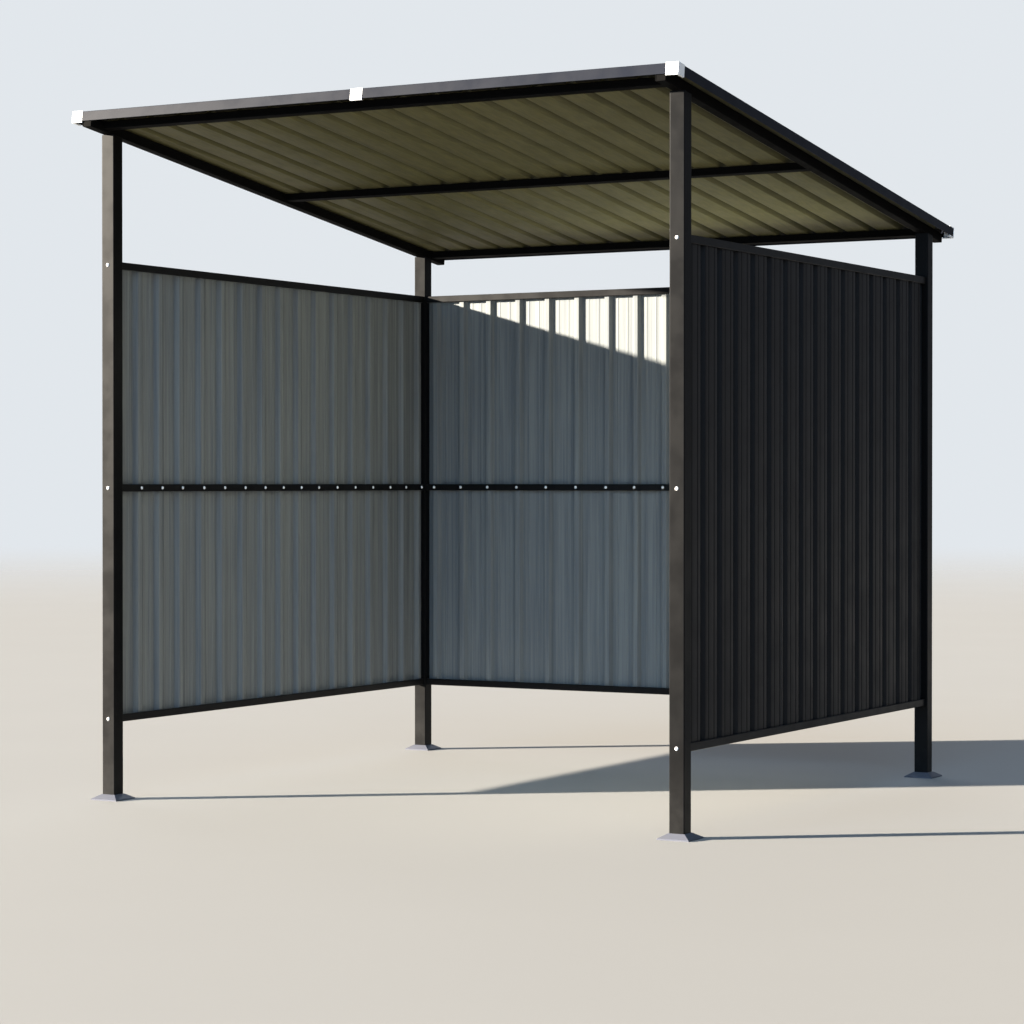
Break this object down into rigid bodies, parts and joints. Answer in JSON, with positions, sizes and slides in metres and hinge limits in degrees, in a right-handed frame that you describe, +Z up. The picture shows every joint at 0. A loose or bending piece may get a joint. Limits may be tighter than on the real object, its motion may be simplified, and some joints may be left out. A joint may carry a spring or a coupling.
{
  "type": "open-fronted bicycle shelter",
  "caption": "Steel bicycle shelter with an open front: square posts on foot plates, profiled sheet walls held in rails and a ribbed sheet roof that falls to the back.",
  "frame": {"origin": "on the ground, at the bottom centre of the bounding box, under the middle of the roof", "axes": "+X to the right seen from the open front, +Y from the open front to the back wall, +Z up"},
  "size_m": [2.684, 2.7966, 2.7655],
  "materials": {
    "frame": "satin anthracite powder coat",
    "rail": "satin anthracite powder coat",
    "wall_sheet": "coated sheet, light grey inside and anthracite outside",
    "roof_sheet": "coated sheet, anthracite on top and light grey below",
    "flashing": "coated folded sheet, grey",
    "foot_cover": "satin anthracite powder coat",
    "white_trim": "white moulded plastic"
  },
  "bodies": {
    "root": {"back_cross_beam": "frame", "back_joint_clip": "white_trim", "back_left_corner_cap": "white_trim", "back_left_flashing": "flashing", "back_left_foot_cover": "foot_cover", "back_left_post": "frame", "back_right_corner_cap": "white_trim", "back_right_flashing": "flashing", "back_right_foot_cover": "foot_cover", "back_right_post": "frame", "back_wall_bottom_rail": "rail", "back_wall_middle_rail": "rail", "back_wall_sheet_left": "wall_sheet", "back_wall_sheet_middle": "wall_sheet", "back_wall_sheet_right": "wall_sheet", "back_wall_top_rail": "rail", "front_cross_beam": "frame", "front_joint_clip": "white_trim", "front_left_corner_cap": "white_trim", "front_left_flashing": "flashing", "front_left_foot_cover": "foot_cover", "front_left_post": "frame", "front_right_corner_cap": "white_trim", "front_right_flashing": "flashing", "front_right_foot_cover": "foot_cover", "front_right_post": "frame", "left_flashing": "flashing", "left_rafter": "frame", "left_wall_bottom_rail": "rail", "left_wall_middle_rail": "rail", "left_wall_sheet_back": "wall_sheet", "left_wall_sheet_front": "wall_sheet", "left_wall_sheet_middle": "wall_sheet", "left_wall_top_rail": "rail", "middle_cross_beam": "frame", "right_flashing": "flashing", "right_rafter": "frame", "right_wall_bottom_rail": "rail", "right_wall_middle_rail": "rail", "right_wall_sheet_back": "wall_sheet", "right_wall_sheet_front": "wall_sheet", "right_wall_sheet_middle": "wall_sheet", "right_wall_top_rail": "rail", "roof_sheet_left": "roof_sheet", "roof_sheet_middle": "roof_sheet", "roof_sheet_right": "roof_sheet"}
  },
  "joints": []
}
